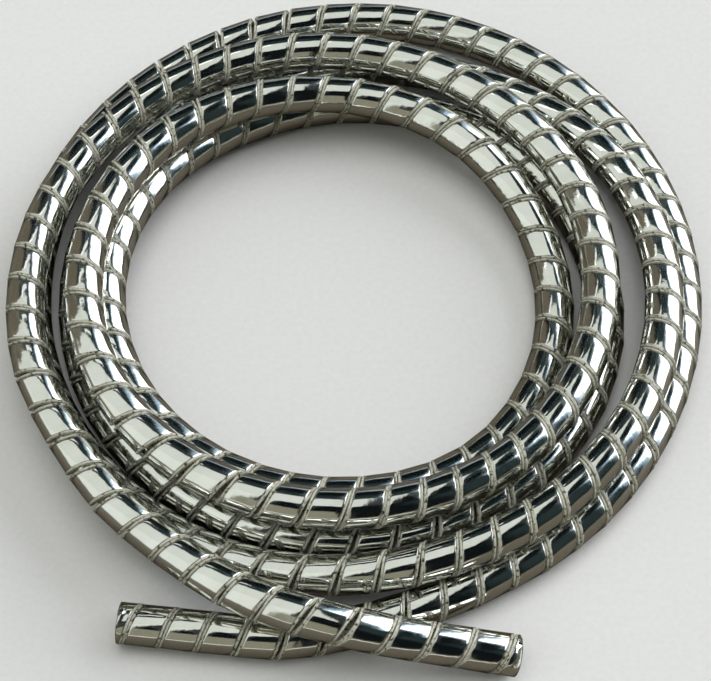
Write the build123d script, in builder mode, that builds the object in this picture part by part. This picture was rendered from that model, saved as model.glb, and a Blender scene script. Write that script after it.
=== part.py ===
from build123d import *
import math
import os

# A loose coil of spiral cable wrap: one narrow strip of clear plastic with a mirror film laminated in
# it, wound left-handed into a hollow tube about 2 m long. The tube lies in five slack turns on a table,
# with both bare ends at the front. +Z is up, the table is z = 0, and +Y points away from the front.
# Millimetres throughout.

# Driving dimensions of the wrap
WRAP_D = 8.0  # outer diameter of the wound strip
BORE_R = 3.0  # radius of the space for cables
BASE_R = 3.5  # outside of the clear inner layer
FILM_R = 3.6  # outside of the mirror film
PITCH = 7.5  # one turn of the strip along the tube
SEAM = 0.4  # gap between neighbouring turns of the strip
FILM_SEAM = 1.4  # the film is narrower, so its gap is wider
SPARE = 0.25  # extra thickness of a wound strip on each side before it is trimmed to its layer

# Driving dimensions of the coil
COIL_CENTRE = (-4.9, 1.45)
LAYER = WRAP_D  # height of one layer of turns
EDGE = 3.0  # rounding of the coil's outer edges

# The outside of each layer is a half circle at the back, and an arc each side that runs on from it to the
# flat face where a tail joins. It is given by the half circle's middle and radius, the angle of the face
# about the coil's middle, and the radii where the right arc and the left arc reach the face.
LOWER_OUTSIDE = ((0.0, 7.8), 72.4, -67.5, 73.0, 64.5)
LOWER_INSIDE = 41.0
UPPER_OUTSIDE = ((-8.5, 3.0), 62.5, -135.0, 60.5, 69.0)
UPPER_INSIDE = 45.0
LOWER_START = LOWER_OUTSIDE[2]
UPPER_START = UPPER_OUTSIDE[2]

# The turn that lies over all the others along the front, as an arc: degrees, radius and height of
# its start, its highest point and its end
TOP_TURN = ((200, 54, 10.5), (250, 56, 18.7), (325, 54, 10.5))

# The two tails. Each end piece is straight, so it is given by its mouth, heading and slope.
END_LENGTH = 18.0
LEFT_MOUTH = (-45.8, -69.6, WRAP_D / 2)
LEFT_HEADING = 173.5  # degrees, out of the left mouth
RIGHT_MOUTH = (29.2, -76.2, 3.9)
RIGHT_HEADING = -4.0
RIGHT_SLOPE = -13.5  # the right end comes down off the left tail
LEFT_JOIN_R = 69.0  # radius at which the left tail runs into the lower layer
RIGHT_JOIN_R = 65.0  # radius at which the right tail leaves the upper layer
RIGHT_JOIN_Z = 12.0


def polar(angle, radius, z=0.0):
    """A point at an angle and a radius about the middle of the coil."""
    turn = math.radians(angle)
    return Vector(COIL_CENTRE[0] + radius * math.cos(turn), COIL_CENTRE[1] + radius * math.sin(turn), z)


def direction(heading, slope=0.0):
    """The unit vector with a compass heading and a slope, in degrees."""
    level = math.cos(math.radians(slope))
    turn = math.radians(heading)
    return Vector(level * math.cos(turn), level * math.sin(turn), math.sin(math.radians(slope)))


def ring(middle, radius, face_angle, right_reach, left_reach, inside):
    """The outline of one layer of the coil, as a face with its middle open."""
    right = Vector(middle[0] + radius, middle[1])
    left = Vector(middle[0] - radius, middle[1])
    back = Vector(middle[0], middle[1] + radius)
    face_right = polar(face_angle, right_reach)
    face_left = polar(face_angle, left_reach)
    with BuildSketch() as sketch:
        with BuildLine():
            TangentArc(right, face_right, tangent=(0, -1))
            ThreePointArc(right, back, left)
            TangentArc(left, face_left, tangent=(0, -1))
            Line(face_left, face_right)
        make_face()
        with Locations(COIL_CENTRE):
            Circle(inside, mode=Mode.SUBTRACT)
    return sketch.sketch


def corner_radii(points):
    """The largest sensible arc at each corner of a cord's route."""
    radii = []
    for before, corner, after in zip(points, points[1:], points[2:]):
        run_in = corner - before
        run_out = after - corner
        half_turn = math.radians(run_in.get_angle(run_out)) / 2
        radii.append(0.45 * min(run_in.length, run_out.length) / math.tan(half_turn))
    return radii


def report_route(name, points, length, volume):
    """Print a route's radii, and its volume against its section times its length."""
    section = math.pi * (WRAP_D / 2) ** 2
    radii = ", ".join(f"{r:.0f}" for r in corner_radii(points))
    print(f"{name}: length {length:.1f}, radii {radii}, volume ratio {volume / (section * length):.4f}")


# The coil: two layers of turns, and the turn that lies over them along the front
with BuildPart() as coil:
    with BuildSketch():
        add(ring(*LOWER_OUTSIDE, LOWER_INSIDE))
    extrude(amount=LAYER)
    fillet(coil.edges().group_by(Axis.Z)[0], radius=EDGE)
    with BuildSketch(Plane.XY.offset(LAYER)):
        add(ring(*UPPER_OUTSIDE, UPPER_INSIDE))
    extrude(amount=LAYER)
    fillet(coil.edges().group_by(Axis.Z)[-1], radius=EDGE)
    with BuildLine() as top_route:
        ThreePointArc(*[polar(*station) for station in TOP_TURN])
    with BuildSketch(Plane(top_route.line @ 0, z_dir=top_route.line % 0)):
        Circle(WRAP_D / 2)
    sweep(path=top_route.line)
coil.part.label = "coil"


# The left tail: from the coil's lower layer to the straight end piece, flat on the table
left_out = direction(LEFT_HEADING)
left_start = Vector(*LEFT_MOUTH) - left_out * END_LENGTH
left_join = polar(LOWER_START, LEFT_JOIN_R, WRAP_D / 2)
left_points = [
    left_start,
    left_start - left_out * 15,
    left_join - direction(LOWER_START + 90) * 17,
    left_join,
]
with BuildPart() as left_tail:
    with BuildLine() as left_route:
        FilletPolyline(*left_points, radius=corner_radii(left_points))
    with BuildSketch(Plane(left_route.wire() @ 0, z_dir=left_route.line % 0)):
        Circle(WRAP_D / 2)
    sweep(path=left_route.line)
left_tail.part.label = "left_tail"
report_route("left_tail", left_points, left_route.wire().length, left_tail.part.volume)


# The right tail: off the coil's upper layer, over the left tail in a long hump, and down to its end
right_out = direction(RIGHT_HEADING, RIGHT_SLOPE)
right_start = Vector(*RIGHT_MOUTH) - right_out * END_LENGTH
right_join = polar(UPPER_START, RIGHT_JOIN_R, RIGHT_JOIN_Z)
right_points = [
    right_join,
    right_join + direction(UPPER_START + 90) * 13,
    Vector(-27, -65, 12.8),
    Vector(-15.5, -70.4, 13.4),
    Vector(-4.5, -73.7, 13.4),
    right_start - right_out * 5,
    right_start,
]
with BuildPart() as right_tail:
    with BuildLine() as right_route:
        FilletPolyline(*right_points, radius=corner_radii(right_points))
    with BuildSketch(Plane(right_route.line @ 0, z_dir=right_route.line % 0)):
        Circle(WRAP_D / 2)
    sweep(path=right_route.line)
right_tail.part.label = "right_tail"
report_route("right_tail", right_points, right_route.wire().length, right_tail.part.volume)


def wound_layer(inner, outer, seam):
    """One layer of the strip at an end piece, wound left-handed and cut off square at both ends."""
    with BuildPart() as layer:
        with BuildLine(Plane.XY.offset(-PITCH)) as strip_line:
            Helix(pitch=PITCH, height=END_LENGTH + 2 * PITCH, radius=(inner + outer) / 2, lefthand=True)
        route = strip_line.wire()
        with BuildSketch(Plane(route @ 0, x_dir=(1, 0, 0), z_dir=(0, -1, 0))):
            Rectangle(outer - inner + 2 * SPARE, PITCH - seam)
        sweep(path=route, is_frenet=True)
        with BuildSketch():
            Circle(outer)
            Circle(inner, mode=Mode.SUBTRACT)
        extrude(amount=END_LENGTH, mode=Mode.INTERSECT)
    return layer.part


LAYERS = {
    "base": (BORE_R, BASE_R, SEAM),
    "film": (BASE_R, FILM_R, FILM_SEAM),
    "cover": (FILM_R, WRAP_D / 2, SEAM),
}
ENDS = {"left": (left_start, left_out), "right": (right_start, right_out)}

os.makedirs("parts", exist_ok=True)
for piece in (coil, left_tail, right_tail):
    export_step(piece.part, f"parts/{piece.part.label}.step")
for end, (start, out) in ENDS.items():
    for layer, (inner, outer, seam) in LAYERS.items():
        strip = Plane(start, z_dir=out) * wound_layer(inner, outer, seam)
        strip.label = f"{end}_end_{layer}"
        export_step(strip, f"parts/{strip.label}.step")
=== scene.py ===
import math

import bpy
import numpy as np
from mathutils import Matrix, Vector


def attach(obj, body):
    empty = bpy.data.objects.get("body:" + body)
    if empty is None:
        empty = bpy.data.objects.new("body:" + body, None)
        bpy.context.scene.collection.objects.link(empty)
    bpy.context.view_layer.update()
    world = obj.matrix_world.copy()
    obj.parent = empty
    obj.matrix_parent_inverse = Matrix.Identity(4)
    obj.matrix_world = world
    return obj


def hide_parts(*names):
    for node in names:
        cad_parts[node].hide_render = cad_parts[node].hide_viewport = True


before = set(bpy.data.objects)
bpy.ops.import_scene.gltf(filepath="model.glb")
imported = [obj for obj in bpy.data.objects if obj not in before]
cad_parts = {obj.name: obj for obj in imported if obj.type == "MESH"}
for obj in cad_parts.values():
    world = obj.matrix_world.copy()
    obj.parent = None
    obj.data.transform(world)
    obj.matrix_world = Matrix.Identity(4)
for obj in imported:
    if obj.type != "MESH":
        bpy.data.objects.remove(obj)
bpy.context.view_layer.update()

MM = 0.001

# ---------------------------------------------------------------- the cord's route, in millimetres

# Driving dimensions of the wrap, as in part.py
WRAP_D = 8.0
PITCH = 7.5
END_LENGTH = 18.0
COIL_CENTRE = (-4.9, 1.45)
LEFT_MOUTH = (-45.8, -69.6, WRAP_D / 2)
LEFT_HEADING = 173.5
RIGHT_MOUTH = (29.2, -76.2, 3.9)
RIGHT_HEADING = -4.0
RIGHT_SLOPE = -13.5
LEFT_JOIN = (-67.5, 69, WRAP_D / 2)  # angle, radius and height where the left tail meets the coil
RIGHT_JOIN = (-135, 65, 12)
LEFT_LEAD = (15, 17)  # from the straight end to the next point, and from the point before it to the join
RIGHT_LEAD = (13, 5)
RIGHT_TAIL = ((-27, -65, 12.8), (-15.5, -70.4, 13.4), (-4.5, -73.7, 13.4))

# The coil's turns: it spirals inwards on the table and then outwards on top of itself.
# Each row is a place along the coil in turns, the radius there, and how far the middle of that turn lies
# to the right of the coil's middle and behind it. The turns between the rows are worked out below.
TURNS = (
    (0, 69, 0, 0),
    (0.45, 72, 5.3, 3.8),
    (1.45, 60, 4, 2),
    (2.45, 51, 2, 0),
    (3.2, 45, 0, 0),
    (4.35, 58, -2, 1),
    (4.8125, 65, 0, 0),
)
EASE = 0.08  # of a turn, over which one row's shape passes into the next
FIRST_ANGLE = LEFT_JOIN[0]
STATION = 15  # degrees between the control points of the coil
STATIONS = 115
FINE_STEP = 2.5  # degrees between the places where the turns' heights are worked out
OWN_TURN = 120  # degrees within which the cord doesn't rest on itself
EASY_SLOPE = 17.5  # degrees round the coil before and after a crossing, to climb over it


def polar(angle, radius, height):
    """A point about the middle of the coil."""
    turn = math.radians(angle)
    x = COIL_CENTRE[0] + radius * math.cos(turn)
    y = COIL_CENTRE[1] + radius * math.sin(turn)
    return np.array((x, y, height))


def direction(heading, slope=0.0):
    """The unit vector with a heading and a slope, in degrees."""
    turn = math.radians(heading)
    rise = math.radians(slope)
    return np.array((math.cos(rise) * math.cos(turn), math.cos(rise) * math.sin(turn), math.sin(rise)))


def coil_plan(angles):
    """Where the coil's turns run, seen from above."""
    place = (angles - FIRST_ANGLE) / 360
    known = np.array(TURNS, float)
    blur = np.linspace(-EASE, EASE, 9)
    radius, right, behind = (
        np.mean([np.interp(place + shift, known[:, 0], known[:, k]) for shift in blur], axis=0)
        for k in (1, 2, 3)
    )
    turn = np.radians(angles)
    x = COIL_CENTRE[0] + right + radius * np.cos(turn)
    y = COIL_CENTRE[1] + behind + radius * np.sin(turn)
    return np.stack((x, y), 1)


def resting_heights(plan):
    """The height of the tube's middle where each turn lies on the table, or on the turns laid before it."""
    order = np.arange(len(plan))
    earlier = order[None] < order[:, None] - OWN_TURN / FINE_STEP
    apart = np.linalg.norm(plan[:, None] - plan[None], axis=2)
    under = earlier & (apart < WRAP_D)
    lift = np.sqrt(np.clip(WRAP_D**2 - apart**2, 0, None))
    reach = round(EASY_SLOPE / FINE_STEP)
    windows = np.lib.stride_tricks.sliding_window_view
    height = np.full(len(plan), WRAP_D / 2)
    for _ in TURNS:
        resting = np.maximum(np.where(under, height + lift, 0).max(1), WRAP_D / 2)
        highest = windows(np.pad(resting, 2 * reach, mode="edge"), 2 * reach + 1).max(1)
        height = windows(highest, 2 * reach + 1).mean(1)
    return height


def cord_route():
    """The control points of the whole cord, from its left mouth to its right one."""
    left_out = direction(LEFT_HEADING)
    left_start = np.array(LEFT_MOUTH) - END_LENGTH * left_out
    left_join = polar(*LEFT_JOIN)
    left = [
        np.array(LEFT_MOUTH),
        left_start,
        left_start - LEFT_LEAD[0] * left_out,
        left_join - LEFT_LEAD[1] * direction(LEFT_JOIN[0] + 90),
    ]
    stations = FIRST_ANGLE + STATION * np.arange(STATIONS)
    fine = np.arange(FIRST_ANGLE, stations[-1] + STATION, FINE_STEP)
    heights = np.interp(stations, fine, resting_heights(coil_plan(fine)))
    turns = [np.array((*plan, height)) for plan, height in zip(coil_plan(stations), heights)]
    right_out = direction(RIGHT_HEADING, RIGHT_SLOPE)
    right_start = np.array(RIGHT_MOUTH) - END_LENGTH * right_out
    right_join = polar(*RIGHT_JOIN)
    right = [
        right_join,
        right_join + RIGHT_LEAD[0] * direction(RIGHT_JOIN[0] + 90),
        *np.array(RIGHT_TAIL),
        right_start - RIGHT_LEAD[1] * right_out,
        right_start,
        np.array(RIGHT_MOUTH),
    ]
    return np.array(left + turns + right) * MM


def spline_points(points):
    """Points along the NURBS spline that has the route's points as its control points."""
    curve = bpy.data.curves.new("route", "CURVE")
    curve.dimensions = "3D"
    curve.resolution_u = 12
    spline = curve.splines.new("NURBS")
    spline.points.add(len(points) - 1)
    for control, point in zip(spline.points, points):
        control.co = (*point, 1.0)
    spline.order_u = 3
    spline.use_endpoint_u = True
    carrier = bpy.data.objects.new("route", curve)
    bpy.context.scene.collection.objects.link(carrier)
    mesh = bpy.data.meshes.new_from_object(carrier)
    line = np.array([vertex.co for vertex in mesh.vertices])
    bpy.data.objects.remove(carrier)
    return line


class Line:
    """The cord's centreline: evenly spaced points with a frame that doesn't twist along it."""

    def __init__(self, points, spacing=0.5 * MM):
        steps = np.linalg.norm(np.diff(points, axis=0), axis=1)
        keep = np.concatenate(([True], steps > 1e-7))
        points = points[keep]
        run = np.concatenate(([0], np.cumsum(np.linalg.norm(np.diff(points, axis=0), axis=1))))
        count = int(round(run[-1] / spacing)) + 1
        self.length = run[-1]
        self.run = np.linspace(0, run[-1], count)
        self.point = np.stack([np.interp(self.run, run, points[:, k]) for k in range(3)], 1)
        self.tangent = self.smooth(np.gradient(self.point, self.run, axis=0))
        self.tangent /= np.linalg.norm(self.tangent, axis=1)[:, None]
        self.bend = self.smooth(np.gradient(self.tangent, self.run, axis=0))
        self.side = np.empty_like(self.point)
        side = np.cross(self.tangent[0], (0, 0, 1))
        for i, tangent in enumerate(self.tangent):
            side = side - tangent * np.dot(side, tangent)
            side /= np.linalg.norm(side)
            self.side[i] = side
        self.up = np.cross(self.side, self.tangent)

    @staticmethod
    def smooth(values, reach=4):
        """A moving average over a few neighbours, with the ends held."""
        padded = np.concatenate((np.repeat(values[:1], reach, 0), values, np.repeat(values[-1:], reach, 0)))
        window = np.ones(2 * reach + 1) / (2 * reach + 1)
        return np.stack([np.convolve(padded[:, k], window, "valid") for k in range(values.shape[1])], 1)

    def at(self, name, run):
        """One of the line's rows of vectors, at distances along it."""
        values = getattr(self, name)
        return np.stack([np.interp(run, self.run, values[:, k]) for k in range(3)], 1)


route = cord_route()
line = Line(spline_points(route))


# ---------------------------------------------------------------- the wound strip

STRIP_WIDTH = 7.35 * MM  # across one clear strip, so that a thin gap is left at each seam
FILM_WIDTH = 6.3 * MM
START_TURN = 0.35  # where round the cord the wrap starts, judged at the two cut ends
# The wrap's turns are not spaced quite evenly: two slow waves, (size in turns, length in metres)
UNEVEN = ((0.12, 0.19), (0.07, 0.083))
CUT = 0.05 * MM  # how far inside the mouths the strip's square cuts lie
COVER_STEPS = 22  # rows of points in each turn of the cover and the base
FILM_STEPS = 28
FILM_EDGE = 0.86  # of half the cover's width: outside this there is only clear rim
TOUCH = 0.49  # the most of the local pitch that half a strip may take where a bend closes the seams

# Outlines of the three layers, as (place across the strip from -1 to 1, radius in mm), anticlockwise
COVER = (
    (-1, 3.57), (-1, 3.82), (-0.99, 3.94), (-0.965, 4.02), (-0.925, 4.05), (-0.87, 4.02), (-0.8, 3.985),
    (0, 3.99), (0.8, 3.985), (0.87, 4.02), (0.925, 4.05), (0.965, 4.02), (0.99, 3.94), (1, 3.82), (1, 3.57),
    (0.9, 3.57), (-0.9, 3.57),
)
FILM = (
    (-1, 3.64), (-0.975, 3.68), (-0.93, 3.70), (-0.85, 3.708), (-0.5, 3.71), (0, 3.71), (0.5, 3.71),
    (0.85, 3.708), (0.93, 3.70), (0.975, 3.68), (1, 3.64), (0.6, 3.60), (-0.6, 3.60),
)
BASE = ((-1, 3.05), (-1, 3.50), (-0.97, 3.54), (0.97, 3.54), (1, 3.50), (1, 3.05), (0.97, 3.0), (-0.97, 3.0))


class Wobble:
    """Small smooth unevenness along the strip: a seeded value per turn, blended between turns."""

    def __init__(self, seed, size, turns, per_turn=1):
        self.values = np.random.default_rng(seed).normal(0, size, int(turns * per_turn) + 8)
        self.per_turn = per_turn

    def at(self, turn):
        place = np.clip((turn + 2) * self.per_turn, 0, len(self.values) - 1.001)
        low = place.astype(int)
        part = place - low
        part = part * part * (3 - 2 * part)
        return self.values[low] * (1 - part) + self.values[low + 1] * part


def turns_along(run):
    """The wrap's turn number at distances along the cord."""
    turn = run / (PITCH * MM) + START_TURN
    for size, wavelength in UNEVEN:
        turn = turn + size * np.sin(2 * math.pi * run / wavelength)
    return turn


def wound_strip(name, outline, width, steps):
    """A closed strip with that cross-section, wound left-handed round the cord's line."""
    half = width / 2
    fine = np.linspace(-half + CUT, line.length + half - CUT, 8000)
    wound = turns_along(fine)
    turn = np.linspace(wound[0], wound[-1], int((wound[-1] - wound[0]) * steps))
    count = len(turn)
    run = np.interp(turn, wound, fine)
    pitch = np.gradient(run, turn)
    turns = wound[-1]
    angle = 2 * math.pi * turn
    tangent = line.at("tangent", run)
    middle = line.at("point", run) + tangent * (run - np.clip(run, 0, line.length))[:, None]
    outward = np.cos(angle)[:, None] * line.at("side", run) + np.sin(angle)[:, None] * line.at("up", run)
    bend = (line.at("bend", run) * outward).sum(1)
    room = TOUCH * pitch * (1 - bend * WRAP_D / 2 * MM)
    reach = np.minimum(half, room * width / STRIP_WIDTH)
    shift = Wobble(11, 0.05 * MM, turns).at(turn)
    tilt = Wobble(12, 0.045 * MM, turns).at(turn)
    swell = Wobble(13, 0.012 * MM, turns, 3).at(turn)
    columns = []
    for across, radius in outline:
        along = np.clip(across * reach + shift, -run, line.length - run)
        lift = radius * MM + tilt * across + swell
        columns.append(middle + tangent * along[:, None] + outward * lift[:, None])
    sides = len(outline)
    points = np.stack(columns, 1).reshape(-1, 3)
    row = np.arange(count - 1)[:, None] * sides
    here = np.arange(sides)[None, :]
    there = (here + 1) % sides
    quads = np.stack((row + here, row + there, row + sides + there, row + sides + here), 2).reshape(-1, 4)
    mesh = bpy.data.meshes.new(name)
    mesh.vertices.add(len(points))
    mesh.vertices.foreach_set("co", points.ravel())
    caps = np.array([np.arange(sides)[::-1], np.arange(sides) + (count - 1) * sides])
    loops = np.concatenate((quads.ravel(), caps.ravel()))
    mesh.loops.add(len(loops))
    mesh.loops.foreach_set("vertex_index", loops)
    starts = np.concatenate((np.arange(len(quads)) * 4, len(quads) * 4 + np.array((0, sides))))
    mesh.polygons.add(len(starts))
    mesh.polygons.foreach_set("loop_start", starts)
    mesh.polygons.foreach_set("use_smooth", np.ones(len(starts), bool))
    strip_map = mesh.uv_layers.new(name="strip")
    place = np.stack((np.tile([across for across, _ in outline], count), np.repeat(turn, sides)), 1)
    strip_map.data.foreach_set("uv", place[loops].ravel())
    mesh.update(calc_edges=True)
    mesh.validate()
    piece = bpy.data.objects.new(name, mesh)
    bpy.context.scene.collection.objects.link(piece)
    return piece


# ---------------------------------------------------------------- materials


class Nodes:
    """A short way to build a material's node tree."""

    def __init__(self, name):
        self.material = bpy.data.materials.new(name)
        self.material.use_nodes = True
        self.tree = self.material.node_tree
        self.shader = self.tree.nodes["Principled BSDF"]

    def add(self, kind, **settings):
        node = self.tree.nodes.new("ShaderNode" + kind)
        for key, value in settings.items():
            if hasattr(node, key):
                setattr(node, key, value)
            else:
                node.inputs[key.replace("_", " ").title()].default_value = value
        return node

    def link(self, out, into):
        self.tree.links.new(out, into)

    def set(self, **values):
        for key, value in values.items():
            self.shader.inputs[key.replace("_", " ")].default_value = value

    def strip_place(self, across, along):
        """Coordinates on the strip, scaled across it and along it."""
        where = self.add("UVMap", uv_map="strip")
        scale = self.add("Mapping")
        scale.inputs["Scale"].default_value = (across, along, 1)
        self.link(where.outputs["UV"], scale.inputs["Vector"])
        return scale.outputs["Vector"]

    def noise(self, place, size, detail=2.0):
        node = self.add("TexNoise", noise_dimensions="3D")
        node.inputs["Scale"].default_value = size
        node.inputs["Detail"].default_value = detail
        self.link(place, node.inputs["Vector"])
        return node.outputs["Fac"]

    def ramp(self, value, *stops):
        node = self.add("ValToRGB")
        elements = node.color_ramp.elements
        while len(elements) < len(stops):
            elements.new(0.5)
        for element, (at, colour) in zip(elements, stops):
            element.position = at
            element.color = colour
        self.link(value, node.inputs["Fac"])
        return node.outputs["Color"]

    def to_range(self, value, low, high):
        node = self.add("MapRange")
        node.inputs["To Min"].default_value = low
        node.inputs["To Max"].default_value = high
        self.link(value, node.inputs["Value"])
        return node.outputs["Result"]

    def bump(self, height, distance, strength=1.0):
        node = self.add("Bump")
        node.inputs["Distance"].default_value = distance
        node.inputs["Strength"].default_value = strength
        self.link(height, node.inputs["Height"])
        self.link(node.outputs["Normal"], self.shader.inputs["Normal"])


def film_material():
    """Mirror film: bright, with fine lines round the cord and soft ripples that bend what it mirrors."""
    m = Nodes("mirror_film")
    m.set(Metallic=1.0)
    tint = m.noise(m.strip_place(0.6, 0.9), 1.0)
    silver = m.ramp(tint, (0.3, (0.86, 0.87, 0.84, 1)), (0.7, (0.94, 0.94, 0.92, 1)))
    m.link(silver, m.shader.inputs["Base Color"])
    lines = m.noise(m.strip_place(16.0, 5.0), 1.0, 3.0)
    m.link(m.to_range(lines, 0.0, 0.10), m.shader.inputs["Roughness"])
    ripples = m.noise(m.strip_place(1.2, 9.0), 1.0, 2.0)
    height = m.add("Math", operation="MULTIPLY_ADD")
    m.link(lines, height.inputs[0])
    height.inputs[1].default_value = 0.06
    m.link(ripples, height.inputs[2])
    m.bump(height.outputs[0], 0.035 * MM, 0.7)
    return m.material


def cover_material(name):
    """Clear flexible plastic with a slight olive tint."""
    m = Nodes(name)
    m.set(IOR=1.5)
    m.shader.inputs["Transmission Weight"].default_value = 1.0
    tint = m.noise(m.strip_place(1.0, 2.0), 1.0)
    olive = m.ramp(tint, (0.3, (0.96, 0.97, 0.91, 1)), (0.7, (0.99, 0.99, 0.96, 1)))
    m.link(olive, m.shader.inputs["Base Color"])
    haze = m.noise(m.strip_place(3.0, 20.0), 1.0, 3.0)
    m.link(m.to_range(haze, 0.0, 0.03), m.shader.inputs["Roughness"])
    return m.material


def rim_material(name, clearness, seed):
    """The strip's rims: cloudy cream plastic with small dark flaws pressed along the cut edge."""
    m = Nodes(name)
    m.set(IOR=1.5)
    m.shader.inputs["Transmission Weight"].default_value = clearness
    place = m.strip_place(6.0, 34.0)
    place.node.inputs["Location"].default_value = (seed, seed, 0)
    flaws = m.noise(place, 1.0, 2.0)
    dark_flaw = (0.36, (0.10, 0.10, 0.06, 1))
    cream = (0.43, (0.86, 0.84, 0.66, 1))
    pale_cream = (0.6, (1.0, 0.99, 0.90, 1))
    m.link(m.ramp(flaws, dark_flaw, cream, pale_cream), m.shader.inputs["Base Color"])
    m.link(m.to_range(flaws, 0.25, 0.05), m.shader.inputs["Roughness"])
    m.bump(flaws, 0.15 * MM, 0.8)
    return m.material


def floor_material():
    """A pale matt table top with a fine grain; to every ray but the camera's it is painted a dim warm brown,
    a painted reflection of cloth in the mirror film.
    """
    m = Nodes("pale_floor")
    place = m.add("TexCoord").outputs["Object"]
    grain = m.noise(place, 900.0, 3.0)
    pale = m.ramp(grain, (0.3, (0.84, 0.83, 0.81, 1)), (0.7, (0.88, 0.87, 0.85, 1)))
    # painted reflection: a dim warm brown that the mirror film and bounced light see in place of the pale
    # floor
    painted_reflection_tone = m.ramp(grain, (0.3, (0.12, 0.10, 0.075, 1)), (0.7, (0.15, 0.125, 0.095, 1)))
    choice = m.add("Mix", data_type="RGBA")
    # the camera sees the pale tone; every other ray sees the painted reflection tone
    m.link(m.add("LightPath").outputs["Is Camera Ray"], choice.inputs["Factor"])
    m.link(painted_reflection_tone, choice.inputs[6])
    m.link(pale, choice.inputs[7])
    m.link(choice.outputs[2], m.shader.inputs["Base Color"])
    m.set(Roughness=0.75)
    return m.material


def dress(piece, *materials):
    """Gives a piece its materials, in order."""
    for material in materials:
        piece.data.materials.append(material)


def rims_apart(piece, outline, inner_reach):
    """Gives the faces outside the film the piece's second material."""
    sides = len(outline)
    on_rim = [
        min(abs(outline[k][0]), abs(outline[(k + 1) % sides][0])) >= inner_reach for k in range(sides)
    ]
    count = len(piece.data.polygons)
    index = np.zeros(count, np.int32)
    whole_rows = (count - 2) // sides
    index[: whole_rows * sides] = np.tile(on_rim, whole_rows)
    index[whole_rows * sides:] = 1
    piece.data.polygons.foreach_set("material_index", index)


cover = wound_strip("clear_cover", COVER, STRIP_WIDTH, COVER_STEPS)
film = wound_strip("mirror_film", FILM, FILM_WIDTH, FILM_STEPS)
base = wound_strip("clear_base", BASE, STRIP_WIDTH, COVER_STEPS)
dress(cover, cover_material("clear_cover"), rim_material("clear_rim", 0.5, 0.0))
rims_apart(cover, COVER, FILM_EDGE)
dress(film, film_material())
dress(base, rim_material("clear_base", 0.2, 3.0))

for piece, slot, nodes in (
    (cover, "clear_plastic", ("left_end_cover", "right_end_cover", "coil")),
    (film, "mirror_film", ("left_end_film", "right_end_film", "left_tail", "right_tail")),
    (base, "clear_plastic", ("left_end_base", "right_end_base")),
):
    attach(piece, "root")
    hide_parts(*nodes)


# ---------------------------------------------------------------- the stage, the lights and the camera


def floor():
    """A wide plane at table height."""
    half = 1.5
    mesh = bpy.data.meshes.new("floor")
    corners = [(-half, -half, 0), (half, -half, 0), (half, half, 0), (-half, half, 0)]
    mesh.from_pydata(corners, [], [(0, 1, 2, 3)])
    plane = bpy.data.objects.new("floor", mesh)
    bpy.context.scene.collection.objects.link(plane)
    dress(plane, floor_material())


def soft_card(name, place, aim, size, brightness, mirrored):
    """A soft card of light aimed at a point; the camera doesn't see it, and the film only if mirrored."""
    lamp = bpy.data.lights.new(name, "AREA")
    lamp.shape = "RECTANGLE"
    lamp.size, lamp.size_y = size
    lamp.energy = brightness * math.pi * size[0] * size[1]
    holder = bpy.data.objects.new(name, lamp)
    bpy.context.scene.collection.objects.link(holder)
    holder.location = place
    holder.rotation_mode = "QUATERNION"
    holder.rotation_quaternion = (Vector(place) - Vector(aim)).to_track_quat("Z", "Y")
    holder.visible_camera = False
    holder.visible_glossy = mirrored
    holder.visible_transmission = mirrored


# The studio round the table: middle heading, half spread, lowest and highest rise, blur, in degrees, and
# colour. Headings run anticlockwise from +X, so 90 is behind the coil and 270 in front of it. Later panels
# lie over earlier ones.
STUDIO = (
    (90, 180, -90, 8, 4, (0.15, 0.14, 0.11)),
    (100, 60, 40, 75, 8, (0.022, 0.034, 0.036)),
    (340, 25, 15, 60, 8, (0.022, 0.034, 0.036)),
    (152, 24, -5, 44, 6, (0.13, 0.115, 0.085)),
    (203, 34, 2, 88, 5, (0.78, 0.82, 0.78)),
    (256, 21, -12, 46, 2.5, (0.25, 0.24, 0.185)),
    (30, 38, -10, 53, 4, (0.45, 0.62, 0.80)),
    (30, 32, -8, 49, 4, (3.0, 3.05, 3.1)),
    (95, 35, 2, 5.5, 1, (0.50, 0.70, 0.90)),
    (265, 36, -3, 3, 1.5, (0.85, 0.85, 0.78)),
)
# The panel overhead: how far it reaches right, behind and in front, for each unit of height, and its colour
CEILING = (0.22, 0.58, -0.22, (0.70, 0.73, 0.70))
DARK = (0.005, 0.007, 0.008)
BACKDROP = (0.72, 0.72, 0.71, 1)


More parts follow.
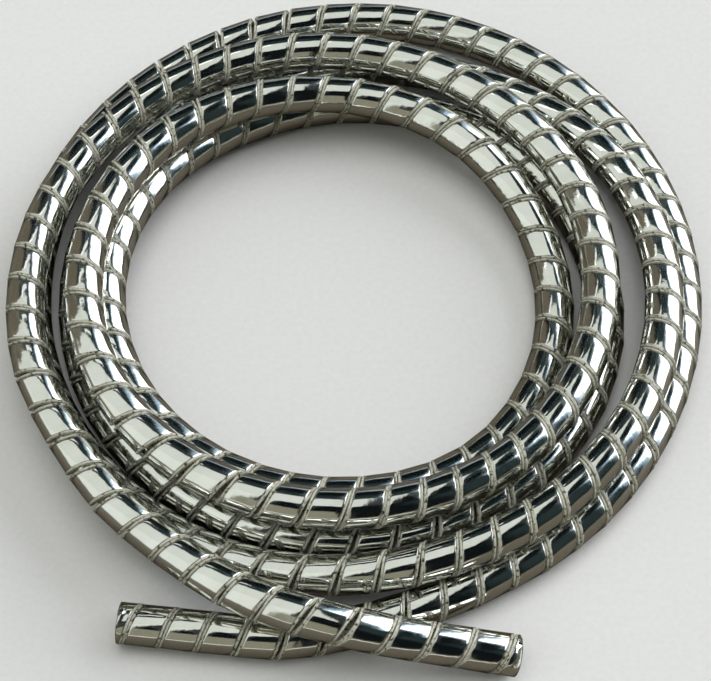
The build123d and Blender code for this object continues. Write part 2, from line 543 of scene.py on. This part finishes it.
def studio_world():
    """Large soft panels round the table, seen only in reflections, and a plain pale backdrop."""
    world = bpy.data.worlds.new("studio")
    world.use_nodes = True
    tree = world.node_tree
    back = tree.nodes["Background"]

    def math_node(operation, first, second):
        node = tree.nodes.new("ShaderNodeMath")
        node.operation = operation
        for socket, value in zip(node.inputs, (first, second)):
            if isinstance(value, float):
                socket.default_value = value
            else:
                tree.links.new(value, socket)
        return node.outputs[0]

    def smooth_step(value, low, high):
        node = tree.nodes.new("ShaderNodeMapRange")
        node.interpolation_type = "SMOOTHSTEP"
        node.inputs["From Min"].default_value = low
        node.inputs["From Max"].default_value = high
        tree.links.new(value, node.inputs["Value"])
        return node.outputs["Result"]

    def vector_node(operation, vector, other=None):
        node = tree.nodes.new("ShaderNodeVectorMath")
        node.operation = operation
        tree.links.new(vector, node.inputs[0])
        if other:
            node.inputs[1].default_value = other
        return node

    def sine(degrees):
        return math.sin(math.radians(max(-90.0, min(90.0, degrees))))

    def cosine(degrees):
        return math.cos(math.radians(max(0.0, min(180.0, degrees))))

    look = tree.nodes.new("ShaderNodeTexCoord").outputs["Generated"]
    split = tree.nodes.new("ShaderNodeSeparateXYZ")
    tree.links.new(look, split.inputs[0])
    rise = split.outputs["Z"]
    level = vector_node("NORMALIZE", vector_node("MULTIPLY", look, (1, 1, 0)).outputs[0]).outputs[0]
    colour = tree.nodes.new("ShaderNodeRGB").outputs[0]
    colour.default_value = (*DARK, 1)
    for heading, spread, low, high, blur, tone in STUDIO:
        facing = vector_node("DOT_PRODUCT", level, tuple(direction(heading))).outputs["Value"]
        side = smooth_step(facing, cosine(spread + blur) - 1e-4, cosine(spread - blur))
        over = smooth_step(rise, sine(low - blur) - 1e-4, sine(low + blur))
        under = smooth_step(rise, sine(high + blur) + 1e-4, sine(high - blur))
        mix = tree.nodes.new("ShaderNodeMix")
        mix.data_type = "RGBA"
        tree.links.new(math_node("MULTIPLY", math_node("MULTIPLY", side, over), under), mix.inputs["Factor"])
        tree.links.new(colour, mix.inputs[6])
        mix.inputs[7].default_value = (*tone, 1)
        colour = mix.outputs[2]
    right, behind, front, tone = CEILING
    across = math_node("DIVIDE", split.outputs["X"], rise)
    along = math_node("DIVIDE", split.outputs["Y"], rise)
    short_of_right = smooth_step(across, right + 0.02, right - 0.02)
    inside = math_node("MULTIPLY", short_of_right, smooth_step(rise, 0.1, 0.3))
    inside = math_node("MULTIPLY", inside, smooth_step(along, behind + 0.02, behind - 0.02))
    inside = math_node("MULTIPLY", inside, smooth_step(along, front - 0.02, front + 0.02))
    mix = tree.nodes.new("ShaderNodeMix")
    mix.data_type = "RGBA"
    tree.links.new(inside, mix.inputs["Factor"])
    tree.links.new(colour, mix.inputs[6])
    mix.inputs[7].default_value = (*tone, 1)
    colour = mix.outputs[2]
    choice = tree.nodes.new("ShaderNodeMix")
    choice.data_type = "RGBA"
    tree.links.new(tree.nodes.new("ShaderNodeLightPath").outputs["Is Camera Ray"], choice.inputs["Factor"])
    tree.links.new(colour, choice.inputs[6])
    choice.inputs[7].default_value = BACKDROP
    tree.links.new(choice.outputs[2], back.inputs["Color"])
    bpy.context.scene.world = world


floor()
studio_world()
soft_card("fill", (0.1, 0.1, 1.2), (0, 0, 0), (1.0, 1.0), 1.6, False)
soft_card("strip", (-0.10, 0.16, 0.26), (-0.06, 0, 0), (0.13, 0.025), 0.9, True)

VIEW_RISE = 60.0
VIEW_DISTANCE = 0.4
VIEW_TARGET = (-1.05 * MM, -5.55 * MM, 0)
camera_data = bpy.data.cameras.new("camera")
camera_data.sensor_width = 36.0
camera_data.lens = 97.4
camera_data.clip_start = 0.01
camera = bpy.data.objects.new("camera", camera_data)
bpy.context.scene.collection.objects.link(camera)
camera.location = Vector(VIEW_TARGET) + Vector(direction(270, VIEW_RISE)) * VIEW_DISTANCE
camera.rotation_mode = "QUATERNION"
camera.rotation_quaternion = Vector(direction(270, VIEW_RISE)).to_track_quat("Z", "Y")
bpy.context.scene.camera = camera
bpy.context.scene.view_settings.view_transform = "Standard"
